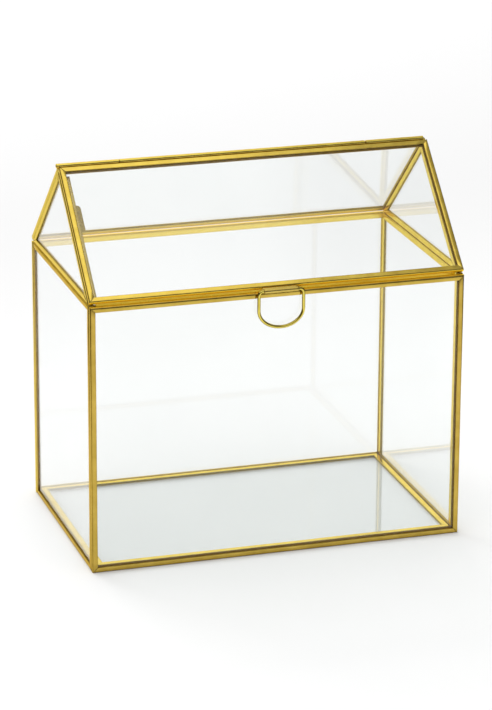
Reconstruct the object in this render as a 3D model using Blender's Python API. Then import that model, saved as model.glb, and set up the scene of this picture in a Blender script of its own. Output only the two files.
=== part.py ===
"""Wedding card box: a house-shaped box of clear panes in brass channel, with a hinged front roof slope.

+X is the width (ridge direction), +Y runs to the rear, +Z is up. The origin is the centre of the base.
"""
import bpy
import bmesh
from math import atan2, cos, pi, radians, sin
from mathutils import Vector

for old in list(bpy.data.objects):
    bpy.data.objects.remove(old, do_unlink=True)

# ---------------------------------------------------------------- driving dimensions, metres
WIDTH = 0.255            # along the ridge
DEPTH = 0.157            # front face to rear face
EAVE_Z = 0.1825           # top of the front and rear frames
ROOF_LINE_Z = 0.2549      # where the two roof lines through the eave corners cross
GAP = 0.0003             # clearance between soldered pieces

# Brass channel: a U with a rounded back that holds the edge of a pane
FACE = 0.0036            # width of a bar's outer lip
INNER_FACE = 0.0043      # width of its inner lip
WALL = 0.0005            # brass thickness
GLASS = 0.0024           # pane thickness
THICK = GLASS + 2 * GAP + 2 * WALL
CORNER_R = 0.0011        # rounding of the channel's two back edges
CORNER_STEPS = 3

# Roof
ROOF_PROUD = 0.0021      # outer roof face above the line through the eave corner
LID_FOOT_Y = 0.0777      # distance of the roof panels' lower outer edge from the centre plane
LID_HEAD_Y = 0.0024      # distance of their upper outer edge from the centre plane
GABLE_DROP = 0.0023      # gable rafters below the line through the eave corner
TIE_Z = 0.1827           # top of the end frames

# Ridge hinge
KNUCKLE_R = 0.00155
KNUCKLE_BORE_R = 0.0008
PIN_R = 0.00072
RIDGE_END_LEFT = -0.1290
RIDGE_END_RIGHT = 0.1252
SPLIT_LEFT = -0.0867     # where the end knuckles stop
SPLIT_RIGHT = 0.0844
KNUCKLE_PLAY = 0.0004
ROUND_STEPS = 32

# Pull: a rolled hanger under the lid's bottom bar and a loose D ring
HANGER_LENGTH = 0.0238
HANGER_SHEET = 0.0004
HANGER_BORE_R = 0.0012
HANGER_REACH = 0.0036    # down the slope from the lid's lower edge to the rolled eye
HANGER_TOP_GAP = 0.00035
HANGER_DROP = 0.0009    # the sheet's middle below the lid's outer face
EYE_TURN = 295.0         # degrees of roll
RING_WIRE_R = 0.0011
RING_HALF_WIDTH = 0.0152
RING_CORNER_R = 0.0026
RING_DROP = 0.0249       # from the bar in the eye to the lowest point of the wire's middle
RING_LEG = 0.0130        # straight part of the legs, measured from the bar
WIRE_STEPS = 16

# Ledge under the lid's left edge
LEDGE_SHEET = 0.0008
LEDGE_WIDTH = 0.0021
LEDGE_START = 0.0080
LEDGE_END = 0.1000
TAB_WIDTH = 0.0048
TAB_START = 0.0580
TAB_END = 0.0776

# ---------------------------------------------------------------- derived geometry
SLOPE = atan2(ROOF_LINE_Z - EAVE_Z, DEPTH / 2)
COS_S, SIN_S = cos(SLOPE), sin(SLOPE)


def roof_z(distance_y, offset):
    """Height of a line parallel to the roof, offset outward from the line through the eave corner."""
    return EAVE_Z + (DEPTH / 2 - distance_y) * SIN_S / COS_S + offset / COS_S


def front_slope_point(x, along, offset):
    """A point above the front eave corner line: along the slope, and offset outward from it."""
    return Vector((x, -DEPTH / 2 + along * COS_S - offset * SIN_S, EAVE_Z + along * SIN_S + offset * COS_S))


LID_FOOT = Vector((0.0, -LID_FOOT_Y, roof_z(LID_FOOT_Y, ROOF_PROUD)))
HEAD_Z = roof_z(LID_HEAD_Y, ROOF_PROUD)
# The knuckles lie in the V between the two roof panels' upper edges
AXIS_Z = HEAD_Z + (KNUCKLE_R + GAP - COS_S * LID_HEAD_Y) / SIN_S
EYE_R = HANGER_BORE_R + HANGER_SHEET
EYE_MID_R = HANGER_BORE_R + HANGER_SHEET / 2
EYE_OFFSET = EYE_MID_R - HANGER_DROP
EYE_CENTRE = LID_FOOT + Vector((0.0, -COS_S * HANGER_REACH - SIN_S * EYE_OFFSET,
                                -SIN_S * HANGER_REACH + COS_S * EYE_OFFSET))


# ---------------------------------------------------------------- materials
def principled(name, colour, roughness, metallic, **extra):
    material = bpy.data.materials.new(name)
    material.use_nodes = True
    shader = material.node_tree.nodes["Principled BSDF"]
    shader.inputs["Base Color"].default_value = (*colour, 1.0)
    shader.inputs["Roughness"].default_value = roughness
    shader.inputs["Metallic"].default_value = metallic
    for socket, value in extra.items():
        shader.inputs[socket.replace("_", " ")].default_value = value
    return material


def channel_brass():
    return principled("channel_brass", (0.74, 0.52, 0.16), 0.26, 1.0)


def hinge_brass():
    return principled("hinge_brass", (0.76, 0.54, 0.18), 0.28, 1.0)


def pin_brass():
    return principled("pin_brass", (0.62, 0.45, 0.17), 0.35, 1.0)


def sheet_brass():
    return principled("sheet_brass", (0.66, 0.47, 0.15), 0.32, 1.0)


def ring_brass():
    return principled("ring_brass", (0.60, 0.46, 0.13), 0.22, 1.0)


def pane_glass():
    return principled("pane_glass", (0.97, 0.99, 0.98), 0.02, 0.0, Transmission_Weight=1.0, IOR=1.5)


# ---------------------------------------------------------------- building blocks
def add_object(name, bm, material, origin=Vector((0, 0, 0)), parent=None, smooth=False):
    """Store world-space geometry in an object whose origin is at the given point."""
    bmesh.ops.recalc_face_normals(bm, faces=bm.faces)
    bmesh.ops.translate(bm, verts=bm.verts, vec=-origin)
    mesh = bpy.data.meshes.new(name)
    bm.to_mesh(mesh)
    bm.free()
    mesh.materials.append(material)
    if smooth:
        mesh.shade_smooth()
        mesh.set_sharp_from_angle(angle=radians(40))
    obj = bpy.data.objects.new(name, mesh)
    bpy.context.collection.objects.link(obj)
    obj.location = origin
    if parent is not None:
        obj.parent = parent
        obj.location = origin - parent.location
    return obj


def loft(loops, close_path=False):
    """Join equal loops of points into a skin. Open paths get flat end caps."""
    bm = bmesh.new()
    rings = [[bm.verts.new(p) for p in loop] for loop in loops]
    count = len(rings[0])
    spans = len(rings) if close_path else len(rings) - 1
    for i in range(spans):
        a, b = rings[i], rings[(i + 1) % len(rings)]
        for j in range(count):
            k = (j + 1) % count
            bm.faces.new((a[j], a[k], b[k], b[j]))
    if not close_path:
        bm.faces.new(rings[0])
        bm.faces.new(list(reversed(rings[-1])))
    return bm


def channel_profile():
    """(inset, depth) outline of the U channel, its slot open toward the pane."""
    outline = [(FACE, 0.0)]
    for step in range(CORNER_STEPS + 1):
        turn = pi / 2 / CORNER_STEPS * step
        outline.append((CORNER_R - CORNER_R * sin(turn), CORNER_R - CORNER_R * cos(turn)))
    for step in range(CORNER_STEPS + 1):
        turn = pi / 2 / CORNER_STEPS * step
        outline.append((CORNER_R - CORNER_R * cos(turn), THICK - CORNER_R + CORNER_R * sin(turn)))
    outline += [(INNER_FACE, THICK), (INNER_FACE, THICK - WALL), (WALL, THICK - WALL), (WALL, WALL), (FACE, WALL)]
    return outline


def corner_data(corners, inward):
    """For each edge of a flat polygon: its direction and in-plane inset direction; and each corner's angle."""
    centre = sum(corners, Vector((0, 0, 0))) / len(corners)
    n = len(corners)
    directions, insets, angles = [], [], []
    for i in range(n):
        along = (corners[(i + 1) % n] - corners[i]).normalized()
        inset = inward.cross(along).normalized()
        if inset.dot(centre - corners[i]) < 0:
            inset = -inset
        directions.append(along)
        insets.append(inset)
    for i in range(n):
        angles.append((-directions[i - 1]).angle(directions[i]))
    return directions, insets, angles


def framed_pane(name, corners, inward, bar_names, brass, glass, parent=None):
    """A pane with a mitred channel bar along every edge. Corners lie on the frame's outer face."""
    directions, insets, angles = corner_data(corners, inward)
    profile = channel_profile()
    n = len(corners)

    def inset_point(i, inset):
        return corners[i] + directions[i] * (inset / (sin(angles[i] / 2) / cos(angles[i] / 2))) \
            + insets[i] * inset

    for i in range(n):
        start, end = corners[i], corners[(i + 1) % n]
        half_a, half_b = angles[i] / 2, angles[(i + 1) % n] / 2
        loops = [[], []]
        for inset, depth in profile:
            back_a = inset * cos(half_a) / sin(half_a) + GAP / 2 / sin(half_a)
            back_b = inset * cos(half_b) / sin(half_b) + GAP / 2 / sin(half_b)
            shift = insets[i] * inset + inward * depth
            loops[0].append(start + directions[i] * back_a + shift)
            loops[1].append(end - directions[i] * back_b + shift)
        middle = (start + end) / 2 + insets[i] * FACE / 2 + inward * THICK / 2
        add_object(f"{name}_{bar_names[i]}", loft(loops), brass, middle, parent)

    edge = WALL + GAP
    near = [inset_point(i, edge) + inward * (WALL + GAP) for i in range(n)]
    far = [point + inward * GLASS for point in near]
    middle = sum(near + far, Vector((0, 0, 0))) / (2 * n)
    add_object(f"{name}_glass", loft([near, far]), glass, middle, parent)


def circle(centre_y, centre_z, x, radius, steps):
    """A circle of points about an axis parallel to X."""
    return [Vector((x, centre_y + radius * cos(2 * pi * i / steps), centre_z + radius * sin(2 * pi * i / steps)))
            for i in range(steps)]


def tube(name, x0, x1, outer, inner, material, parent=None):
    """A hollow cylinder on the ridge axis."""
    loops = [circle(0, AXIS_Z, x0, inner, ROUND_STEPS), circle(0, AXIS_Z, x0, outer, ROUND_STEPS),
             circle(0, AXIS_Z, x1, outer, ROUND_STEPS), circle(0, AXIS_Z, x1, inner, ROUND_STEPS)]
    origin = Vector(((x0 + x1) / 2, 0, AXIS_Z))
    return add_object(name, loft(loops, close_path=True), material, origin, parent, smooth=True)


# ---------------------------------------------------------------- body of the box
def upright_frames(brass, glass):
    """Front and rear frames, full width; the end frames stand between them."""
    w, d = WIDTH / 2, DEPTH / 2
    for name, side in (("front", -1), ("rear", 1)):
        corners = [Vector((x, side * d, z)) for x, z in ((-w, 0), (w, 0), (w, EAVE_Z), (-w, EAVE_Z))]
        framed_pane(name, corners, Vector((0, -side, 0)), ("bottom", "right", "top", "left"), brass, glass)
    y = d - THICK - GAP
    for name, side in (("left_end", -1), ("right_end", 1)):
        corners = [Vector((side * w, a, z)) for a, z in ((-y, 0), (y, 0), (y, TIE_Z), (-y, TIE_Z))]
        framed_pane(name, corners, Vector((-side, 0, 0)), ("bottom", "rear", "top", "front"), brass, glass)


def base_frame(brass, glass):
    """The floor pane, inside the four upright frames."""
    x, y = WIDTH / 2 - THICK - GAP, DEPTH / 2 - THICK - GAP
    corners = [Vector((a, b, 0)) for a, b in ((-x, -y), (x, -y), (x, y), (-x, y))]
    framed_pane("base", corners, Vector((0, 0, 1)), ("front", "right", "rear", "left"), brass, glass)


def gable_frames(brass, glass):
    """Triangular frames on top of the end frames."""
    foot_z = TIE_Z + GAP
    foot_y = DEPTH / 2 - (foot_z - EAVE_Z + GABLE_DROP / COS_S) * COS_S / SIN_S
    for name, side in (("left_gable", -1), ("right_gable", 1)):
        x = side * WIDTH / 2
        corners = [Vector((x, -foot_y, foot_z)), Vector((x, foot_y, foot_z)),
                   Vector((x, 0, roof_z(0, -GABLE_DROP)))]
        framed_pane(name, corners, Vector((-side, 0, 0)), ("tie", "rear_rafter", "front_rafter"), brass, glass)


def roof_panel(name, side, bar_names, brass, glass, parent=None):
    """One roof slope: side -1 is the front slope, +1 the rear."""
    w = WIDTH / 2
    foot_y, head_y = side * LID_FOOT_Y, side * LID_HEAD_Y
    corners = [Vector((-w, foot_y, LID_FOOT.z)), Vector((w, foot_y, LID_FOOT.z)),
               Vector((w, head_y, HEAD_Z)), Vector((-w, head_y, HEAD_Z))]
    inward = Vector((0, -side * SIN_S, -COS_S))
    framed_pane(name, corners, inward, bar_names, brass, glass, parent)


# ---------------------------------------------------------------- ridge hinge
def ridge_hinge(brass, pin_material, lid_axis):
    """Two end knuckles on the fixed slope, one long knuckle on the lid, and the pin through all three."""
    tube("knuckle_left", RIDGE_END_LEFT, SPLIT_LEFT, KNUCKLE_R, KNUCKLE_BORE_R, brass)
    tube("knuckle_right", SPLIT_RIGHT, RIDGE_END_RIGHT, KNUCKLE_R, KNUCKLE_BORE_R, brass)
    tube("knuckle_lid", SPLIT_LEFT + KNUCKLE_PLAY, SPLIT_RIGHT - 2 * KNUCKLE_PLAY,
         KNUCKLE_R, KNUCKLE_BORE_R, brass, lid_axis)
    inset = 0.0005
    x0, x1 = RIDGE_END_LEFT + inset, RIDGE_END_RIGHT - inset
    loops = [circle(0, AXIS_Z, x0, PIN_R, ROUND_STEPS), circle(0, AXIS_Z, x1, PIN_R, ROUND_STEPS)]
    add_object("hinge_pin", loft(loops), pin_material, Vector(((x0 + x1) / 2, 0, AXIS_Z)), smooth=True)


# ---------------------------------------------------------------- pull
def hanger_profile():
    """Middle line of the hanger sheet as (down-slope, outward) points: a flat strap rolled into an eye."""
    points = [(HANGER_TOP_GAP, -HANGER_DROP), (HANGER_REACH * 0.5, -HANGER_DROP)]
    steps = 24
    for i in range(steps + 1):
        turn = radians(-90 + EYE_TURN * i / steps)
        points.append((HANGER_REACH + EYE_MID_R * cos(turn), EYE_OFFSET + EYE_MID_R * sin(turn)))
    return points


def pull_hanger(material, lid_axis):
    """The rolled sheet hanger soldered under the lid's bottom bar."""
    line = [Vector(p) for p in hanger_profile()]
    half = HANGER_SHEET / 2
    left_side, right_side = [], []
    for i, point in enumerate(line):
        before, after = line[max(i - 1, 0)], line[min(i + 1, len(line) - 1)]
        along = (after - before).normalized()
        normal = Vector((-along.y, along.x))
        left_side.append(point + normal * half)
        right_side.append(point - normal * half)

    def at(point, x):
        return Vector((x, LID_FOOT.y - COS_S * point.x - SIN_S * point.y,
                       LID_FOOT.z - SIN_S * point.x + COS_S * point.y))

    x = HANGER_LENGTH / 2
    loops = [[at(a, -x), at(b, -x), at(b, x), at(a, x)] for a, b in zip(left_side, right_side)]
    add_object("pull_hanger", loft(loops), material, EYE_CENTRE.copy(), lid_axis, smooth=True)


def ring_path():
    """Middle line of the D ring in its own plane, as (x, z) from the bar's middle."""
    inner = RING_HALF_WIDTH - RING_CORNER_R
    half = [(inner * t, 0.0) for t in (0.0, 0.5)]
    for i in range(7):
        turn = radians(90 - 15 * i)
        half.append((inner + RING_CORNER_R * cos(turn), -RING_CORNER_R + RING_CORNER_R * sin(turn)))
    half.append((RING_HALF_WIDTH, -(RING_CORNER_R + RING_LEG) / 2))
    steps = 16
    bow = RING_DROP - RING_LEG
    for i in range(steps + 1):
        turn = radians(-90 * i / steps)
        half.append((RING_HALF_WIDTH * cos(turn), -RING_LEG + bow * sin(turn)))
    return half + [(-x, z) for x, z in reversed(half[1:-1])]


def pull_ring(material, lid_axis):
    """The D ring: round wire swept round a closed path, its bar running through the rolled eye."""
    path = [Vector(p) for p in ring_path()]
    n = len(path)
    loops = []
    for i, point in enumerate(path):
        along = (path[(i + 1) % n] - path[i - 1]).normalized()
        side = Vector((-along.y, along.x))
        loop = []
        for j in range(WIRE_STEPS):
            turn = 2 * pi * j / WIRE_STEPS
            across = point + side * RING_WIRE_R * cos(turn)
            loop.append(EYE_CENTRE + Vector((across.x, RING_WIRE_R * sin(turn), across.y)))
        loops.append(loop)
    add_object("pull_ring", loft(loops, close_path=True), material, EYE_CENTRE.copy(), lid_axis, smooth=True)


# ---------------------------------------------------------------- ledge
def lid_ledge(material):
    """A thin strip along the left front rafter, with a round-ended tab, just under the lid."""
    x0 = -WIDTH / 2 + THICK + GAP
    x1, x2 = x0 + LEDGE_WIDTH, x0 + TAB_WIDTH
    outline = [(x0, LEDGE_START), (x1, LEDGE_START), (x1, TAB_START), (x2, TAB_START)]
    radius = x2 - x1
    for i in range(7):
        turn = radians(15 * i)
        outline.append((x1 + radius * cos(turn), TAB_END - radius + radius * sin(turn)))
    outline += [(x1, LEDGE_END), (x0, LEDGE_END)]
    top = [front_slope_point(x, along, -GABLE_DROP) for x, along in outline]
    bottom = [front_slope_point(x, along, -GABLE_DROP - LEDGE_SHEET) for x, along in outline]
    add_object("lid_ledge", loft([top, bottom]), material,
               front_slope_point((x0 + x1) / 2, (LEDGE_START + LEDGE_END) / 2, -GABLE_DROP))


def build():
    brass, glass = channel_brass(), pane_glass()
    upright_frames(brass, glass)
    base_frame(brass, glass)
    gable_frames(brass, glass)
    roof_panel("rear_roof", 1, ("bottom", "right", "top", "left"), brass, glass)
    lid_axis = bpy.data.objects.new("lid_axis", None)
    lid_axis.location = (0, 0, AXIS_Z)
    bpy.context.collection.objects.link(lid_axis)
    roof_panel("lid", -1, ("bottom", "right", "top", "left"), brass, glass, lid_axis)
    ridge_hinge(hinge_brass(), pin_brass(), lid_axis)
    sheet = sheet_brass()
    pull_hanger(sheet, lid_axis)
    pull_ring(ring_brass(), lid_axis)
    lid_ledge(sheet)


build()
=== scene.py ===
"""Visible pieces of a wedding card box: brass channel frames, clear panes, ridge hinge, hanger and D ring.

+X is the width (ridge direction), +Y runs to the rear, +Z is up. Lengths are in metres.
"""

from math import atan2, copysign, cos, pi, radians, sin, tan

import bmesh
import bpy
from mathutils import Matrix, Vector, noise


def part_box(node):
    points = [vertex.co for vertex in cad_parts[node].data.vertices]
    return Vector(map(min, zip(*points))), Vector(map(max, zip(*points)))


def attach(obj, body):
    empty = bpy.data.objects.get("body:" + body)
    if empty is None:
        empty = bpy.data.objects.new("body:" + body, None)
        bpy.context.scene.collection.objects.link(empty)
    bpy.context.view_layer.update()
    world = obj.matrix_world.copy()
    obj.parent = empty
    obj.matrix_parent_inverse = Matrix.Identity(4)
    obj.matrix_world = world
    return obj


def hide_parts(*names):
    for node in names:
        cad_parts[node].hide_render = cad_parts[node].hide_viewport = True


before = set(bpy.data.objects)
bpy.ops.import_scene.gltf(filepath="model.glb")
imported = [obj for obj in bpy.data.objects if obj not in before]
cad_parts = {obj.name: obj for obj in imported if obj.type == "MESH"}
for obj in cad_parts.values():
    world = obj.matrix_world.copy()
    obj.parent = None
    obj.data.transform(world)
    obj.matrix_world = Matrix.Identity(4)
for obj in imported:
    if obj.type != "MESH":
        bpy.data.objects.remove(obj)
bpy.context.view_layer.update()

# ---------------------------------------------------------------- dimensions of the CAD part
front_low, front_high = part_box("front_glass")
WALL, GAP = 0.0005, 0.0003            # brass thickness; clearance between soldered pieces
EDGE = WALL + GAP                     # the pane's edge lies this far inside a frame's outer edge
WIDTH = front_high.x - front_low.x + 2 * EDGE
DEPTH = -2 * (front_low.y - EDGE)
EAVE_Z = front_high.z + EDGE
GLASS = front_high.y - front_low.y
THICK = GLASS + 2 * EDGE              # thickness of a frame
FACE, INNER_FACE = 0.0036, 0.0043     # width of a bar's outer and inner lip
CORNER_R = 0.0011                     # rounding of a channel's back edges
LIP_R = 0.00014                       # rounding of its lips
ROOF_LINE_Z = 0.2549                  # where the two slopes through the eave corners meet
ROOF_PROUD, GABLE_DROP = 0.0021, 0.0023    # roof frames stand above that slope, gables stay below it
TIE_Z = 0.1827                        # top of the end frames
LID_FOOT_Y, LID_HEAD_Y = 0.0777, 0.0024    # a roof frame's lower and upper edge, from the middle
SLOPE = atan2(ROOF_LINE_Z - EAVE_Z, DEPTH / 2)
COS_S, SIN_S = cos(SLOPE), sin(SLOPE)

KNUCKLE_R, KNUCKLE_BORE_R, PIN_R = 0.00155, 0.0008, 0.00072
HANGER_SHEET, HANGER_BORE_R, HANGER_REACH, HANGER_DROP = 0.0004, 0.0012, 0.0036, 0.0009
HANGER_TOP_GAP, EYE_TURN = 0.00035, 295.0  # the strap's clearance at the lid; how far its eye is rolled
RING_WIRE_R, RING_HALF_WIDTH, RING_CORNER_R = 0.0011, 0.0152, 0.0026
RING_DROP, RING_LEG = 0.0249, 0.0130  # full height of the D below its bar; its straight part
LEDGE_SHEET, LEDGE_WIDTH, LEDGE_START, LEDGE_END = 0.0008, 0.0021, 0.0080, 0.1000
TAB_WIDTH, TAB_START, TAB_END = 0.0048, 0.0580, 0.0776    # starts and ends run up the slope from the eave

# The strip inside the lid's lower edge, which only the visible model has; it carries painted reflection
# colour.
REST_START, REST_DEPTH, REST_SHEET, REST_BEVEL, REST_END_GAP = 0.0006, 0.0032, 0.0006, 0.0002, 0.0008


def roof_z(distance_y, offset):
    """Height of a line parallel to the roof, offset outward from the line through the eave corner."""
    return EAVE_Z + (DEPTH / 2 - distance_y) * SIN_S / COS_S + offset / COS_S


def front_slope_point(x, along, offset):
    """A point above the front eave corner line: along the slope, and offset outward from it."""
    return Vector((x, -DEPTH / 2 + along * COS_S - offset * SIN_S, EAVE_Z + along * SIN_S + offset * COS_S))


LID_FOOT = Vector((0.0, -LID_FOOT_Y, roof_z(LID_FOOT_Y, ROOF_PROUD)))
HEAD_Z = roof_z(LID_HEAD_Y, ROOF_PROUD)
AXIS_Z = HEAD_Z + (KNUCKLE_R + GAP - COS_S * LID_HEAD_Y) / SIN_S
EYE_MID_R = HANGER_BORE_R + HANGER_SHEET / 2
EYE_OFFSET = EYE_MID_R - HANGER_DROP
EYE_CENTRE = LID_FOOT + Vector((0.0, -COS_S * HANGER_REACH - SIN_S * EYE_OFFSET,
                                -SIN_S * HANGER_REACH + COS_S * EYE_OFFSET))


# ---------------------------------------------------------------- materials
class Tree:
    """Short calls for building a material's or a world's node tree. A value may be a number or a socket."""

    def __init__(self, owner):
        owner.use_nodes = True
        self.owner = owner
        self.nodes = owner.node_tree.nodes
        self.links = owner.node_tree.links
        self.shader = self.nodes.get("Principled BSDF")
        self.out = self.nodes.get("Material Output")

    def add(self, kind, inputs=None, **settings):
        node = self.nodes.new(kind)
        for key, value in settings.items():
            setattr(node, key, value)
        for key, value in (inputs or {}).items():
            self.put(node.inputs[key], value)
        return node

    def put(self, socket, value):
        if isinstance(value, bpy.types.NodeSocket):
            self.links.new(value, socket)
        else:
            socket.default_value = value

    def math(self, operation, a, b=0.0):
        return self.add("ShaderNodeMath", {0: a, 1: b}, operation=operation).outputs[0]

    def spread(self, value, low, high, to_low=0.0, to_high=1.0):
        """Map low..high to to_low..to_high, and stay there outside."""
        node = self.add("ShaderNodeMapRange", {0: value, 1: low, 2: high, 3: to_low, 4: to_high})
        return node.outputs[0]

    def soft_step(self, value, low, high):
        """Rise smoothly from 0 at low to 1 at high; low may be the larger."""
        node = self.add("ShaderNodeMapRange", {0: value, 1: low, 2: high}, interpolation_type="SMOOTHSTEP")
        return node.outputs[0]

    def mirror_ray(self):
        """1 for what brass and panes mirror, 0 for what is seen directly or through a pane."""
        path = self.add("ShaderNodeLightPath").outputs
        direct = self.math("SUBTRACT", 1.0, path["Is Transmission Ray"])
        return self.math("MULTIPLY", path["Is Glossy Ray"], direct)

    def mix(self, share, a, b):
        node = self.add("ShaderNodeMix", data_type="RGBA")
        self.put(node.inputs[0], share)
        self.put(node.inputs[6], a)
        self.put(node.inputs[7], b)
        return node.outputs[2]

    def noise(self, coordinates, scale, detail):
        node = self.add("ShaderNodeTexNoise", {"Vector": coordinates, "Scale": scale, "Detail": detail,
                                               "Roughness": 0.55})
        return node.outputs[0]


def material_tree(name):
    return Tree(bpy.data.materials.new(name))


def rgba(colour):
    return (*colour, 1.0)


GRAZING_TINT = (1.0, 0.82, 0.42)         # brass keeps its yellow at flat angles
# patina, and painted dark reflection on rounded edges
PATINA_AND_PAINTED_SHADE = (0.060, 0.040, 0.010)
HOLLOW_SHADE_BROWN = (0.50, 0.29, 0.05)        # painted brown shade inside the channels
PAINTED_REFLECTION_COLOUR = (1.0, 0.76, 0.15)          # painted reflection colour, where that attribute is 1
STREAK_SCALE = (60.0, 9000.0, 1.0)       # streaks: 17 mm long and 0.1 mm wide
MOTTLE_SCALE, UNEVEN_SCALE, WEAR_SCALE = 95.0, 260.0, 900.0
# share of the hollows' painted shade; metal kept under it and under the painted reflection
HOLLOW_COVER, HOLLOW_SHADE_METAL, PAINTED_REFLECTION_METAL = 0.8, 0.3, 0.6
BUMP_HEIGHT, BUMP_STRENGTH = 0.00004, 0.35


def brass(name, face, deep, roughness, edge_depth, side=PAINTED_REFLECTION_COLOUR, hollow=HOLLOW_SHADE_BROWN):
    """Drawn brass: streaks along the piece, soft mottling, dark patina with painted dark reflection on
    edges, painted brown shade in the hollows, painted reflection on marked sides.

    The mesh gives uv (along, round) in metres, and three point attributes from 0 to 1: edge (patina with
    painted dark reflection), recess (painted shade in the colour hollow, less metallic) and the painted
    reflection mark (the colour side, less metallic)."""
    t = material_tree(name)
    place = t.add("ShaderNodeTexCoord").outputs["Object"]
    uv = t.add("ShaderNodeUVMap", uv_map="along").outputs[0]
    edge = t.add("ShaderNodeAttribute", attribute_name="edge").outputs["Fac"]
    recess = t.add("ShaderNodeAttribute", attribute_name="recess").outputs["Fac"]
    painted_reflection = t.add("ShaderNodeAttribute", attribute_name="painted_reflection").outputs["Fac"]

    drawn = t.add("ShaderNodeMapping", {"Vector": uv, "Scale": STREAK_SCALE}).outputs[0]
    streak = t.noise(drawn, 1.0, 2.0)
    mottle = t.noise(place, MOTTLE_SCALE, 4.0)

    base = t.mix(t.spread(mottle, 0.32, 0.70), rgba(deep), rgba(face))
    lit = t.math("MULTIPLY", t.spread(streak, 0.35, 0.75), 0.10)
    base = t.mix(lit, base, rgba([min(1.0, c * 1.25) for c in face]))
    worn = t.spread(t.noise(place, WEAR_SCALE, 3.0), 0.30, 0.62, 0.62, 1.0)
    dark = t.math("MULTIPLY", t.math("MULTIPLY", edge, worn), edge_depth)
    # painted shade: the hollows take the brown colour and less metal
    base = t.mix(t.math("MULTIPLY", recess, HOLLOW_COVER), base, rgba(hollow))
    # patina and painted dark reflection on edges
    base = t.mix(dark, base, rgba(PATINA_AND_PAINTED_SHADE))
    # painted reflection: the marked sides take the side colour
    base = t.mix(painted_reflection, base, rgba(side))
    t.put(t.shader.inputs["Base Color"], base)
    metal = t.math("MINIMUM", t.spread(painted_reflection, 0.0, 1.0, 1.0, PAINTED_REFLECTION_METAL),
                   t.spread(recess, 0.0, 1.0, 1.0, HOLLOW_SHADE_METAL))
    t.put(t.shader.inputs["Metallic"], metal)
    t.shader.inputs["Specular Tint"].default_value = rgba(GRAZING_TINT)

    rough = t.spread(t.math("ADD", mottle, t.math("MULTIPLY", streak, 0.6)), 0.5, 1.1,
                     roughness * 0.75, roughness * 1.3)
    rough = t.math("ADD", rough, t.math("MULTIPLY", dark, 0.16))
    t.put(t.shader.inputs["Roughness"], rough)

    uneven = t.noise(place, UNEVEN_SCALE, 2.0)
    height = t.math("ADD", t.math("MULTIPLY", streak, 0.35), t.math("MULTIPLY", uneven, 0.65))
    bump = t.add("ShaderNodeBump", {"Strength": BUMP_STRENGTH, "Distance": BUMP_HEIGHT, "Height": height})
    t.put(t.shader.inputs["Normal"], bump.outputs[0])
    return t.owner


PANE_DARK, PANE_LIGHT = (0.965, 0.975, 0.972), (0.980, 0.988, 0.985)
PANE_SHADE = (0.905, 0.915, 0.910)       # share of a lamp's light that each surface of a pane lets through


def clear_glass(name):
    """Clear float glass. Light for the floor and the brass behind it passes straight through."""
    t = material_tree(name)
    place = t.add("ShaderNodeTexCoord").outputs["Object"]
    tint = t.spread(t.noise(place, 14.0, 2.0), 0.3, 0.7)
    t.put(t.shader.inputs["Base Color"], t.mix(tint, rgba(PANE_DARK), rgba(PANE_LIGHT)))
    t.shader.inputs["Roughness"].default_value = 0.0
    t.shader.inputs["Transmission Weight"].default_value = 1.0
    t.shader.inputs["IOR"].default_value = 1.5
    wave = t.add("ShaderNodeBump", {"Strength": 0.10, "Distance": 0.00003,
                                    "Height": t.noise(place, 22.0, 1.0)})
    t.put(t.shader.inputs["Normal"], wave.outputs[0])
    path = t.add("ShaderNodeLightPath")
    through = t.add("ShaderNodeBsdfTransparent", {"Color": rgba(PANE_SHADE)})
    share = t.math("MAXIMUM", path.outputs["Is Shadow Ray"], path.outputs["Is Diffuse Ray"])
    mixed = t.add("ShaderNodeMixShader", {0: share, 1: t.shader.outputs[0], 2: through.outputs[0]})
    t.put(t.out.inputs["Surface"], mixed.outputs[0])
    return t.owner


def make_materials():
    """Lit and shaded copies of one brass, by place: the lid and the rear are painted brightest, the front
    ("channel") darker, its top bar a little brighter; "rear" also serves the base, the gables and the right
    end. side is the colour of painted reflection.
    """
    return {
        "channel": brass("brass_channel", face=(0.62, 0.43, 0.085), deep=(0.48, 0.325, 0.055),
                         roughness=0.17, edge_depth=0.86),
        "lid": brass("brass_lid", face=(0.86, 0.64, 0.12), deep=(0.70, 0.49, 0.085),
                     roughness=0.13, edge_depth=0.84, side=(0.96, 0.64, 0.025)),
        "rear": brass("brass_rear", face=(0.88, 0.72, 0.17), deep=(0.76, 0.60, 0.13),
                      roughness=0.18, edge_depth=0.60, hollow=(0.80, 0.58, 0.14)),
        "front_top": brass("brass_front_top", face=(0.66, 0.47, 0.09), deep=(0.50, 0.34, 0.055),
                           roughness=0.16, edge_depth=0.35, side=(1.0, 0.68, 0.025)),
        "hinge": brass("brass_hinge", face=(0.90, 0.70, 0.15), deep=(0.74, 0.55, 0.10),
                       roughness=0.18, edge_depth=0.40),
        "pin": brass("brass_pin", face=(0.45, 0.33, 0.10), deep=(0.36, 0.26, 0.07),
                     roughness=0.32, edge_depth=0.50),
        "sheet": brass("brass_sheet", face=(0.70, 0.53, 0.13), deep=(0.58, 0.42, 0.09),
                       roughness=0.22, edge_depth=0.70),
        "ring": brass("brass_ring", face=(0.80, 0.66, 0.13), deep=(0.68, 0.54, 0.095),
                      roughness=0.09, edge_depth=0.85),
        "solder": brass("brass_solder", face=(0.42, 0.31, 0.08), deep=(0.30, 0.21, 0.05),
                        roughness=0.38, edge_depth=0.50),
        "glass": clear_glass("glass_clear"),
    }


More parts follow.
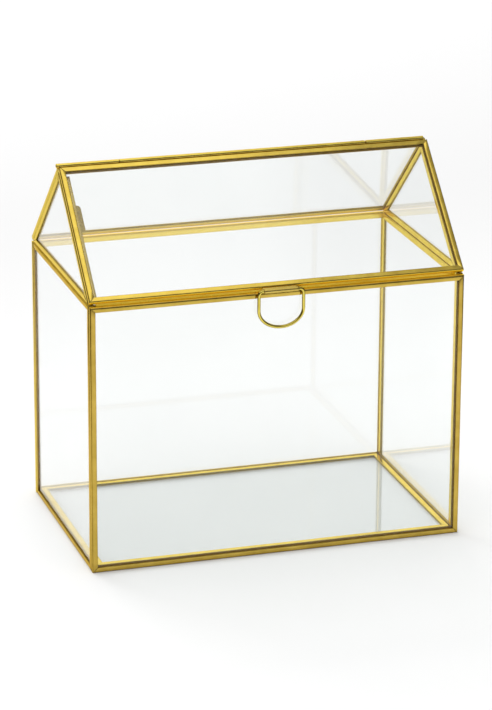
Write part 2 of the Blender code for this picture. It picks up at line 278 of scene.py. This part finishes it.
# ---------------------------------------------------------------- mesh building
def finish_mesh(name, bm, material, body, nodes, sharp=32.0):
    """Turn a bmesh into a piece that rides on a body and stands for CAD nodes."""
    bmesh.ops.recalc_face_normals(bm, faces=bm.faces)
    mesh = bpy.data.meshes.new(name)
    bm.to_mesh(mesh)
    bm.free()
    mesh.materials.append(material)
    mesh.shade_smooth()
    mesh.set_sharp_from_angle(angle=radians(sharp))
    piece = bpy.data.objects.new(name, mesh)
    bpy.context.scene.collection.objects.link(piece)
    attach(piece, body)
    if nodes:
        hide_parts(*nodes)
    return piece


def skin(rows, edge, recess, lengths, rounds, close_rows=False, painted_reflection=None):
    """Join rows of points (equal closed outlines) into a closed skin, with uv along and the attributes.

    edge, recess, the painted reflection mark and rounds (place round the outline) hold one value per outline
    point, and lengths (place along the piece) one per row. With close_rows the last row joins the first."""
    bm = bmesh.new()
    edge_layer = bm.verts.layers.float.new("edge")
    recess_layer = bm.verts.layers.float.new("recess")
    painted_reflection_layer = bm.verts.layers.float.new("painted_reflection")
    uv_layer = bm.loops.layers.uv.new("along")
    count = len(rows[0])
    verts = []
    for row in rows:
        line = []
        for j, point in enumerate(row):
            v = bm.verts.new(point)
            v[edge_layer] = edge[j]
            v[recess_layer] = recess[j]
            v[painted_reflection_layer] = painted_reflection[j] if painted_reflection else 0.0
            line.append(v)
        verts.append(line)
    spans = len(rows) if close_rows else len(rows) - 1
    for i in range(spans):
        a, b = verts[i], verts[(i + 1) % len(rows)]
        for j in range(count):
            k = (j + 1) % count
            face = bm.faces.new((a[j], a[k], b[k], b[j]))
            far = rounds[j] + (rounds[1] - rounds[0]) if k == 0 else rounds[k]
            for loop, uv in zip(face.loops, ((lengths[i], rounds[j]), (lengths[i], far),
                                             (lengths[i + 1], far), (lengths[i + 1], rounds[j]))):
                loop[uv_layer].uv = uv
    if not close_rows:
        for line in (verts[0], list(reversed(verts[-1]))):
            face = bm.faces.new(line)
            for loop in face.loops:
                loop[uv_layer].uv = (0.0, 0.0)
    return bm


def outline_lengths(points):
    """Running length round an outline."""
    total, out = 0.0, [0.0]
    for a, b in zip(points, points[1:]):
        total += (Vector(b) - Vector(a)).length
        out.append(total)
    return out


def arc(centre_u, centre_v, radius, start, end, steps):
    """Points on an arc, angles in degrees."""
    return [(centre_u + radius * cos(radians(start + (end - start) * i / steps)),
             centre_v + radius * sin(radians(start + (end - start) * i / steps))) for i in range(steps + 1)]


CROWN = 0.00006          # how far a face bulges
ROUND_EDGE = (0.10, 0.45, 0.85, 0.40)      # patina with painted dark reflection round a back edge, from the face to the side


def channel_outline():
    """(inset, depth) outline of the U channel with its edge and recess values."""
    points, edge, recess = [], [], []

    def put(list_of_points, e=0.0, r=0.0):
        for i, p in enumerate(list_of_points):
            points.append(p)
            edge.append(e[i] if isinstance(e, tuple) else e)
            recess.append(r)

    def face_points(lip, depth_at):
        """Crowned face from a lip to the back rounding."""
        flat = lip - CORNER_R - LIP_R
        return [(lip - LIP_R - flat * s, depth_at(4 * s * (1 - s))) for s in (0.12, 0.5, 0.86)]

    def hollow(lip, depth):
        """The inside of a lip, from its end to the bottom of the channel."""
        return [(lip - LIP_R * 0.3, depth), (WALL + (lip - WALL) * 0.5, depth), (WALL, depth)]

    r = CORNER_R
    put(arc(FACE - LIP_R, LIP_R, LIP_R, 0, -90, 2), 0.5)
    put(face_points(FACE, lambda c: -CROWN * c * 0.6))
    put([(r + 0.0001, 0.0)], 0.08)
    put(arc(r, r, r, -90, -180, 5)[1:-1], ROUND_EDGE)
    side = THICK - 2 * r
    put([(0.0, r + side * s) for s in (0.1, 0.5, 0.9)], 0.1)
    put(arc(r, THICK - r, r, 180, 90, 5)[1:-1], tuple(reversed(ROUND_EDGE)))
    put([(r + 0.0001, THICK)], 0.08)
    put(list(reversed(face_points(INNER_FACE, lambda c: THICK + CROWN * c * 0.6))))
    put(arc(INNER_FACE - LIP_R, THICK - LIP_R, LIP_R, 90, 0, 2), 0.6)
    put(hollow(INNER_FACE, THICK - WALL), 0.3, 1.0)
    put(list(reversed(hollow(FACE, WALL))), 0.3, 1.0)
    return points, edge, recess


OUTLINE, OUTLINE_EDGE, OUTLINE_RECESS = channel_outline()
OUTLINE_ROUND = outline_lengths(OUTLINE)
MITRE_GAP = 0.00009      # what is left open between two mitred bars
ROW_STEP, END_ROW, END_SHRINK = 0.006, 0.0004, 0.00005     # rows along a bar; its slightly filed ends
SWAY_ACROSS, SWAY_DEEP, SWAY_FADE = 0.00007, 0.00009, 0.012    # unevenness, fading towards a bar's ends


def painted_reflection_outline(node):
    """Where a bar's outline gets painted reflection: its outer side at the front eave, also its inner face
    at the rear.
    """
    if node in ("lid_bottom", "front_top"):
        return [1.0 if u < CORNER_R * 0.05 or (u < CORNER_R and v > THICK / 2) else 0.0 for u, v in OUTLINE]
    if node in ("rear_roof_bottom", "rear_top"):
        return [0.75 if u < CORNER_R * 0.7 or v > THICK - WALL * 0.5 else 0.0 for u, v in OUTLINE]
    return None


def corner_data(corners, inward):
    """For each edge of a flat polygon: its direction and inset direction; and each corner's angle."""
    centre = sum(corners, Vector((0, 0, 0))) / len(corners)
    n = len(corners)
    directions, insets = [], []
    for i in range(n):
        along = (corners[(i + 1) % n] - corners[i]).normalized()
        inset = inward.cross(along).normalized()
        if inset.dot(centre - corners[i]) < 0:
            inset = -inset
        directions.append(along)
        insets.append(inset)
    angles = [(-directions[i - 1]).angle(directions[i]) for i in range(n)]
    return directions, insets, angles


def wobble(seed, s, size, length):
    """A smooth small number along a bar, zero at its ends."""
    fade = min(1.0, min(s, length - s) / SWAY_FADE)
    return noise.noise(Vector((s * 28.0, seed * 7.31, 0.5))) * size * max(0.0, fade)


def channel_bar(node, start, end, along, inset, inward, half_a, half_b, material, body, seed):
    """One bent channel between two mitres, with the slight unevenness of hand-soldered brass."""
    length = (end - start).length
    steps = max(8, int(length / ROW_STEP))
    end_row = END_ROW / length
    fractions = [0.0, end_row] + [i / steps for i in range(1, steps)] + [1 - end_row, 1.0]
    rows, lengths = [], []
    for fraction in fractions:
        s = fraction * length
        sway = inset * wobble(seed, s, SWAY_ACROSS, length)
        sway += inward * wobble(seed + 40, s, SWAY_DEEP, length)
        row = []
        for u, v in OUTLINE:
            back_a = u / tan(half_a) + MITRE_GAP / 2 / sin(half_a)
            back_b = u / tan(half_b) + MITRE_GAP / 2 / sin(half_b)
            shrink = END_SHRINK if fraction in (0.0, 1.0) else 0.0
            uu = u + (shrink if u < FACE / 2 else -shrink)
            vv = v + (shrink if v < THICK / 2 else -shrink)
            a = start + along * back_a + inset * uu + inward * vv
            b = end - along * back_b + inset * uu + inward * vv
            row.append(a.lerp(b, fraction) + sway)
        rows.append(row)
        lengths.append(s + seed * 0.37)
    bm = skin(rows, OUTLINE_EDGE, OUTLINE_RECESS, lengths, OUTLINE_ROUND, painted_reflection=painted_reflection_outline(node))
    return finish_mesh(f"{node}_bar", bm, material, body, [node])


BEAD_HALF_WIDTH, BEAD_HEIGHT, BEAD_SINK = 0.00026, 0.00007, 0.00012


def mitre_bead(name, point, into, outward, length, material, body, seed):
    """The thin raised line of solder along a mitre, on a frame's outer face."""
    side = into.cross(outward).normalized()
    rows, lengths = [], []
    steps, around = 10, 10
    for i in range(steps + 1):
        s = i / steps
        swell = (sin(pi * min(1, max(0, s * 0.94 + 0.03)))) ** 0.35
        width = BEAD_HALF_WIDTH * swell * (1 + 0.5 * noise.noise(Vector((s * 5, seed * 3.1, 0))))
        centre = point + into * (0.0004 + s * (length - 0.0006))
        row = []
        for k in range(around):
            turn = 2 * pi * k / around
            rise = (BEAD_HEIGHT * swell if sin(turn) > 0 else BEAD_SINK) * sin(turn)
            row.append(centre + side * width * cos(turn) + outward * rise)
        rows.append(row)
        lengths.append(s * length)
    rounds = [k * 0.0001 for k in range(around)]
    bm = skin(rows, [0.35] * around, [0.0] * around, lengths, rounds)
    return finish_mesh(name, bm, material, body, [])


def channel_frame(name, corners, inward, bar_names, material, body, mats, seed, beads=True):
    """All bars of one flat frame, mitred at its corners, with the solder lines on its outer face.

    A bar whose node is a key of mats gets that material instead of the frame's."""
    directions, insets, angles = corner_data(corners, inward)
    n = len(corners)
    for i in range(n):
        node = f"{name}_{bar_names[i]}"
        channel_bar(node, corners[i], corners[(i + 1) % n], directions[i], insets[i], inward,
                    angles[i] / 2, angles[(i + 1) % n] / 2, mats.get(node, material), body, seed + i * 1.7)
        if beads:
            into = (directions[i] - directions[i - 1]).normalized()
            reach = FACE / sin(angles[i] / 2)
            mitre_bead(f"{name}_solder_{i + 1}", corners[i].copy(), into, -inward, reach,
                       mats["solder"], body, seed + i)


SLIT_HALF_TURN, TUBE_RIM = 3.5, 0.00018   # half a knuckle's slit, in degrees; the easing of its rims
PIN_DOME = 0.0004


def round_axis(x, radius, turns):
    """Points round the hinge's axis, at turns in degrees."""
    return [Vector((x, radius * cos(radians(a)), AXIS_Z + radius * sin(radians(a)))) for a in turns]


def rolled_tube(node, slit, material, body, seed):
    """A knuckle rolled from strip: nearly closed, with its slit turned to the given angle."""
    low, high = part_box(node)
    length = high.x - low.x
    steps, spans = 40, 24
    outer = [slit + SLIT_HALF_TURN + (360 - 2 * SLIT_HALF_TURN) * i / steps for i in range(steps + 1)]
    inner = list(reversed(outer))
    stations = [(0.0, TUBE_RIM), (TUBE_RIM, 0.0)] + [(length * i / spans, 0.0) for i in range(1, spans)]
    stations += [(length - TUBE_RIM, 0.0), (length, TUBE_RIM)]
    rows = [round_axis(low.x + s, KNUCKLE_R - cut, outer) + round_axis(low.x + s, KNUCKLE_BORE_R, inner)
            for s, cut in stations]
    lengths = [s + seed for s, _ in stations]
    n = len(outer)
    edge = [0.5 if i in (0, n - 1) else 0.0 for i in range(n)] + [0.0] * n
    recess = [0.0] * n + [1.0] * n
    rounds = [radians(a) * KNUCKLE_R for a in outer] + [radians(a) * KNUCKLE_BORE_R for a in inner]
    bm = skin(rows, edge, recess, lengths, rounds)
    return finish_mesh(f"{node}_tube", bm, material, body, [node])


def domed_pin(material):
    """The hinge pin, with softly domed ends."""
    low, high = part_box("hinge_pin")
    steps = 24
    turns = [360 * i / steps for i in range(steps)]
    stations = [(low.x, 0.45), (low.x + PIN_DOME * 0.3, 0.8), (low.x + PIN_DOME, 1.0), (0.0, 1.0),
                (high.x - PIN_DOME, 1.0), (high.x - PIN_DOME * 0.3, 0.8), (high.x, 0.45)]
    rows = [round_axis(x, PIN_R * share, turns) for x, share in stations]
    plain = [0.0] * steps
    bm = skin(rows, plain, plain, [x for x, _ in stations], [0.0002 * i for i in range(steps)])
    return finish_mesh("hinge_rod", bm, material, "box", ["hinge_pin"])


def bevel_piece(piece, width, angle):
    """Round a thin piece's edges that turn by more than the angle."""
    modifier = piece.modifiers.new("round_edges", "BEVEL")
    modifier.width = width
    modifier.segments = 2
    modifier.limit_method = "ANGLE"
    modifier.angle_limit = radians(angle)
    depsgraph = bpy.context.evaluated_depsgraph_get()
    rounded = bpy.data.meshes.new_from_object(piece.evaluated_get(depsgraph))
    piece.modifiers.clear()
    piece.data = rounded
    rounded.shade_smooth()
    rounded.set_sharp_from_angle(angle=radians(50))
    return piece


def hanger(material):
    """A strap under the lid's bottom bar, rolled into an eye."""
    line = [Vector((HANGER_TOP_GAP, -HANGER_DROP)), Vector((HANGER_REACH * 0.5, -HANGER_DROP))]
    steps = 40
    for i in range(steps + 1):
        turn = radians(-90 + EYE_TURN * i / steps)
        line.append(Vector((HANGER_REACH + EYE_MID_R * cos(turn), EYE_OFFSET + EYE_MID_R * sin(turn))))
    half = HANGER_SHEET / 2
    low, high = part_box("pull_hanger")

    def at(point, x):
        return Vector((x, LID_FOOT.y - COS_S * point.x - SIN_S * point.y,
                       LID_FOOT.z - SIN_S * point.x + COS_S * point.y))

    left_side, right_side = [], []
    for i, point in enumerate(line):
        along = (line[min(i + 1, len(line) - 1)] - line[max(i - 1, 0)]).normalized()
        normal = Vector((-along.y, along.x))
        left_side.append(point + normal * half)
        right_side.append(point - normal * half)
    outline = left_side + list(reversed(right_side))
    end_row, spans = 0.0012, 8
    stations = [low.x, low.x + end_row] + [low.x + (high.x - low.x) * i / spans for i in range(1, spans)]
    stations += [high.x - end_row, high.x]
    rows = [[at(p, x) for p in outline] for x in stations]
    n = len(outline)
    bm = skin(rows, [0.0] * n, [0.0] * n, stations, outline_lengths(outline))
    edge_layer = bm.verts.layers.float["edge"]
    for v in bm.verts:
        if min(abs(v.co.x - low.x), abs(v.co.x - high.x)) < 1e-5:
            v[edge_layer] = 0.7
    piece = finish_mesh("pull_hanger_strap", bm, material, "lid", ["pull_hanger"], 60)
    return bevel_piece(piece, 0.00010, 60)


def ring_path():
    """Middle line of the D ring in its own plane, as (x, z) from the bar's middle."""
    inner = RING_HALF_WIDTH - RING_CORNER_R
    half = [(inner * i / 4, 0.0) for i in range(4)]
    corner_steps = 10
    for i in range(corner_steps + 1):
        turn = radians(90 - 90 * i / corner_steps)
        half.append((inner + RING_CORNER_R * cos(turn), -RING_CORNER_R + RING_CORNER_R * sin(turn)))
    for share in (0.33, 0.67):
        half.append((RING_HALF_WIDTH, -RING_CORNER_R - (RING_LEG - RING_CORNER_R) * share))
    steps = 28
    bow = RING_DROP - RING_LEG
    for i in range(steps + 1):
        turn = radians(-90 * i / steps)
        half.append((RING_HALF_WIDTH * cos(turn), -RING_LEG + bow * sin(turn)))
    return [Vector(p) for p in half + [(-x, z) for x, z in reversed(half[1:-1])]]


def ring(material):
    """Round wire bent to a D, its bar running through the rolled eye."""
    path = ring_path()
    n, around = len(path), 24
    rows, lengths, total = [], [], 0.0
    for i, point in enumerate(path):
        along = (path[(i + 1) % n] - path[i - 1]).normalized()
        side = Vector((-along.y, along.x))
        radius = RING_WIRE_R * (1 - 0.02 * max(0.0, noise.noise(Vector((point.x * 300, point.y * 300, 0)))))
        row = []
        for j in range(around):
            turn = 2 * pi * j / around
            across = point + side * radius * cos(turn)
            row.append(EYE_CENTRE + Vector((across.x, radius * sin(turn), across.y)))
        rows.append(row)
        lengths.append(total)
        total += (path[(i + 1) % n] - point).length
    lengths.append(total)
    # painted dark reflection along the wire's two sides, through the edge attribute
    flanks = [max(0.0, abs(cos(2 * pi * j / around)) - 0.5) * 1.8 for j in range(around)]
    bm = skin(rows, flanks, [0.0] * around, lengths, [0.0003 * j for j in range(around)], True)
    return finish_mesh("pull_ring_wire", bm, material, "ring", ["pull_ring"], 80)


def ledge(material):
    """A thin strip along the left front rafter, with a round-ended tab, just under the lid."""
    x0 = -WIDTH / 2 + THICK + GAP
    x1, x2 = x0 + LEDGE_WIDTH, x0 + TAB_WIDTH
    outline = [(x0, LEDGE_START), (x1, LEDGE_START), (x1, TAB_START), (x2, TAB_START)]
    radius, steps = x2 - x1, 12
    for i in range(steps + 1):
        turn = radians(90 * i / steps)
        outline.append((x1 + radius * cos(turn), TAB_END - radius + radius * sin(turn)))
    outline += [(x1, LEDGE_END), (x0, LEDGE_END)]
    rows = [[front_slope_point(x, along, -GABLE_DROP - depth) for x, along in outline]
            for depth in (0.0, LEDGE_SHEET)]
    n = len(outline)
    bm = skin(rows, [0.55] * n, [0.0] * n, [0.0, LEDGE_SHEET], outline_lengths(outline))
    piece = finish_mesh("lid_ledge_strip", bm, material, "box", ["lid_ledge"])
    return bevel_piece(piece, 0.00012, 40)


def lid_rest_lip(material):
    """A strip along the inner lower edge of the lid, closing the gap above the front frame; it carries
    painted reflection in the lid's side colour.
    """
    up_slope, inward = Vector((0, COS_S, SIN_S)), Vector((0, SIN_S, -COS_S))
    near, far, half = REST_START, REST_START + REST_SHEET, WIDTH / 2 - THICK - REST_END_GAP
    profile = [(near, 0.0), (near, REST_DEPTH - REST_BEVEL), (near + REST_BEVEL, REST_DEPTH),
               (far - REST_BEVEL, REST_DEPTH), (far, REST_DEPTH - REST_BEVEL), (far, 0.0)]
    base = LID_FOOT + inward * (THICK + 0.00005)
    steps = 42
    stations = [-half + 2 * half * i / steps for i in range(steps + 1)]
    rows = []
    for x in stations:
        sway = up_slope * noise.noise(Vector((x * 30.0, 3.3, 0.0))) * 0.00006
        rows.append([base + Vector((x, 0, 0)) + up_slope * s + inward * d + sway for s, d in profile])
    n = len(profile)
    bm = skin(rows, [0.2, 0.4, 0.6, 0.6, 0.4, 0.2], [0.0] * n, stations, outline_lengths(profile),
              painted_reflection=[0.8] * n)
    return finish_mesh("lid_rest_lip", bm, material, "lid", [])


LUMP_HALF_SIZE = (0.0023, 0.0012, 0.00065)
LUMP_SQUARE = 0.6        # 1 is round, smaller is more like a box


def corner_solder(material, side):
    """The lump of solder where the front frame, an end frame and a gable meet."""
    centre = Vector((side * (WIDTH / 2 - 0.0024), -DEPTH / 2 + 0.0035, EAVE_Z + 0.00012))
    bm = bmesh.new()
    bmesh.ops.create_icosphere(bm, subdivisions=3, radius=1.0)
    for layer in ("edge", "recess", "painted_reflection"):
        bm.verts.layers.float.new(layer)
    bm.loops.layers.uv.new("along")
    for v in bm.verts:
        bump = 1.0 + 0.06 * noise.noise(v.co * 1.7 + Vector((side * 3.0, 0, 0)))
        full = [copysign(abs(c) ** LUMP_SQUARE, c) * size for c, size in zip(v.co, LUMP_HALF_SIZE)]
        v.co = centre + Vector(full) * bump
    name = "solder_lump_left" if side < 0 else "solder_lump_right"
    return finish_mesh(name, bm, material, "box", [])


# ---------------------------------------------------------------- the box
def build_box(mats):
    """Front, rear, ends, base, gables, rear roof and lid, each a frame of channel bars."""
    w, d = WIDTH / 2, DEPTH / 2
    seed = 1.0
    for name, side in (("front", -1), ("rear", 1)):
        corners = [Vector((x, side * d, z)) for x, z in ((-w, 0), (w, 0), (w, EAVE_Z), (-w, EAVE_Z))]
        channel_frame(name, corners, Vector((0, -side, 0)), ("bottom", "right", "top", "left"),
                      mats["channel"] if side < 0 else mats["rear"], "box", mats, seed)
        seed += 11
    y = d - THICK - GAP
    for name, side in (("left_end", -1), ("right_end", 1)):
        corners = [Vector((side * w, a, z)) for a, z in ((-y, 0), (y, 0), (y, TIE_Z), (-y, TIE_Z))]
        channel_frame(name, corners, Vector((-side, 0, 0)), ("bottom", "rear", "top", "front"),
                      mats["channel" if side < 0 else "rear"], "box", mats, seed)
        seed += 11
    x = w - THICK - GAP
    corners = [Vector((a, b, 0)) for a, b in ((-x, -y), (x, -y), (x, y), (-x, y))]
    channel_frame("base", corners, Vector((0, 0, 1)), ("front", "right", "rear", "left"),
                  mats["rear"], "box", mats, seed, beads=False)
    foot_z = TIE_Z + GAP
    foot_y = d - (foot_z - EAVE_Z + GABLE_DROP / COS_S) * COS_S / SIN_S
    for name, side in (("left_gable", -1), ("right_gable", 1)):
        seed += 11
        corners = [Vector((side * w, -foot_y, foot_z)), Vector((side * w, foot_y, foot_z)),
                   Vector((side * w, 0, roof_z(0, -GABLE_DROP)))]
        channel_frame(name, corners, Vector((-side, 0, 0)), ("tie", "rear_rafter", "front_rafter"),
                      mats["rear"], "box", mats, seed)
    for name, side, body in (("rear_roof", 1, "box"), ("lid", -1, "lid")):
        seed += 11
        foot, head = side * LID_FOOT_Y, side * LID_HEAD_Y
        corners = [Vector((-w, foot, LID_FOOT.z)), Vector((w, foot, LID_FOOT.z)),
                   Vector((w, head, HEAD_Z)), Vector((-w, head, HEAD_Z))]
        channel_frame(name, corners, Vector((0, -side * SIN_S, -COS_S)), ("bottom", "right", "top", "left"),
                      mats["lid" if body == "lid" else "rear"], body, mats, seed)


def build_hinge(mats):
    """Three knuckles on one pin; the slits face the frame that each is soldered to."""
    for node, body, slit, seed in (("knuckle_left", "box", -50, 1.0), ("knuckle_right", "box", -50, 2.0),
                                   ("knuckle_lid", "lid", 230, 3.0)):
        rolled_tube(node, slit, mats["hinge"], body, seed)
    domed_pin(mats["pin"])


def dress_glass(mats):
    """The panes keep their CAD shape and get the glass material."""
    for name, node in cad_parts.items():
        if name.endswith("_glass"):
            for material_slot in node.material_slots:
                material_slot.material = mats["glass"]


# ---------------------------------------------------------------- stage, light and camera
FLOOR_RADIUS = 9.0
PAPER, PAPER_BEHIND = 0.97, 0.75         # the floor is a little darker behind the box
UNLIT, UNLIT_SHARE = 0.02, 0.85          # painted shade beyond a patch near the box, only as brass and panes mirror it


def stage_floor():
    """A plain pale floor. What the box mirrors of it is painted dark beyond a patch near the box, as if lit
    only there, as on a small table.
    """
    bm = bmesh.new()
    bmesh.ops.create_circle(bm, cap_ends=True, radius=FLOOR_RADIUS, segments=96)
    mesh = bpy.data.meshes.new("floor")
    bm.to_mesh(mesh)
    bm.free()
    floor = bpy.data.objects.new("floor", mesh)
    bpy.context.scene.collection.objects.link(floor)
    t = material_tree("floor_paper")
    x, y, _ = t.add("ShaderNodeSeparateXYZ", {0: t.add("ShaderNodeTexCoord").outputs["Object"]}).outputs
    beside = t.soft_step(t.math("ABSOLUTE", x), 0.38, 0.56)
    in_front = t.soft_step(y, -0.85, -1.15)
    unlit = t.math("MULTIPLY", t.math("MAXIMUM", beside, in_front), t.mirror_ray())
    paper = t.mix(t.soft_step(y, -0.15, 0.8), rgba([PAPER] * 3), rgba([PAPER_BEHIND] * 3))
    colour = t.mix(t.math("MULTIPLY", unlit, UNLIT_SHARE), paper, rgba([UNLIT] * 3))
    t.put(t.shader.inputs["Base Color"], colour)
    t.shader.inputs["Roughness"].default_value = 0.9
    t.shader.inputs["Specular IOR Level"].default_value = 0.0
    mesh.materials.append(t.owner)


SURROUND, OVERHEAD_GLOW, HORIZON_GLOW = 0.55, 0.66, 0.58
SIDES_DIM, RIGHT_DIM = 0.80, 0.35        # how much darker brass and panes mirror those parts of the room


def studio_world():
    """An even white surround, brighter overhead on the left and low at the back."""
    world = bpy.data.worlds.new("studio")
    bpy.context.scene.world = world
    t = Tree(world)
    x, y, z = t.add("ShaderNodeSeparateXYZ", {0: t.add("ShaderNodeTexCoord").outputs["Generated"]}).outputs

    def region(*steps):
        """1 where every (value, from, to) has risen past its step."""
        share = t.soft_step(*steps[0])
        for step in steps[1:]:
            share = t.math("MULTIPLY", share, t.soft_step(*step))
        return share

    overhead = region((x, 0.315, 0.285), (z, 0.45, 0.80))
    horizon = region((y, 0.1, 0.7), (z, 0.75, 0.45))
    glow = t.math("ADD", t.math("MULTIPLY", overhead, OVERHEAD_GLOW),
                  t.math("MULTIPLY", horizon, HORIZON_GLOW))
    viewer = region((y, -0.30, -0.60), (z, 0.65, 0.42))
    flanks = region((t.math("ABSOLUTE", x), 0.60, 0.80), (z, 0.75, 0.5))
    right = region((x, 0.285, 0.36), (z, 0.3, 0.7))
    dim = t.math("MAXIMUM", t.math("MULTIPLY", t.math("MAXIMUM", viewer, flanks), SIDES_DIM),
                 t.math("MULTIPLY", right, RIGHT_DIM))
    dim = t.math("MULTIPLY", dim, t.mirror_ray())
    light = t.math("MULTIPLY", t.math("ADD", glow, SURROUND), t.math("SUBTRACT", 1.0, dim))
    background = t.nodes["Background"]
    background.inputs["Color"].default_value = rgba([1.0] * 3)
    t.put(background.inputs["Strength"], light)


SOFTBOX_PLACE, SOFTBOX_TARGET = Vector((-0.6, 3.2, 2.3)), Vector((0.0, 0.0, 0.1))
SOFTBOX_SIZE, SOFTBOX_WATTS = (3.0, 2.0), 76.0


def softbox_behind():
    """A large soft light behind the box, which draws its soft shadow to the front; not itself seen."""
    data = bpy.data.lights.new("softbox_back", "AREA")
    data.shape = "RECTANGLE"
    data.size, data.size_y = SOFTBOX_SIZE
    data.energy = SOFTBOX_WATTS
    light = bpy.data.objects.new("softbox_back", data)
    bpy.context.scene.collection.objects.link(light)
    light.location = SOFTBOX_PLACE
    light.rotation_euler = (SOFTBOX_TARGET - SOFTBOX_PLACE).to_track_quat("-Z", "Y").to_euler()
    light.visible_camera = light.visible_glossy = light.visible_transmission = False


CAMERA_PLACE, CAMERA_FORWARD = Vector((-0.6397, -2.0557, 0.8421)), Vector((0.2820, 0.9043, -0.3206))
CAMERA_ROLL, CAMERA_LENS, CAMERA_SENSOR = 0.291, 170.48, 36.0     # degrees, mm, mm


def set_camera():
    data = bpy.data.cameras.new("camera")
    camera = bpy.data.objects.new("camera", data)
    bpy.context.scene.collection.objects.link(camera)
    camera.location = CAMERA_PLACE
    aim = CAMERA_FORWARD.normalized().to_track_quat("-Z", "Y").to_matrix().to_4x4()
    camera.rotation_euler = (aim @ Matrix.Rotation(radians(CAMERA_ROLL), 4, "Z")).to_euler()
    data.lens, data.sensor_width = CAMERA_LENS, CAMERA_SENSOR
    data.clip_end = 50.0
    bpy.context.scene.camera = camera


bpy.context.scene.view_settings.view_transform = "Standard"
materials = make_materials()
build_box(materials)
build_hinge(materials)
hanger(materials["sheet"])
ring(materials["ring"])
ledge(materials["sheet"])
lid_rest_lip(materials["lid"])
for end in (-1, 1):
    corner_solder(materials["solder"], end)
dress_glass(materials)
stage_floor()
studio_world()
softbox_behind()
set_camera()
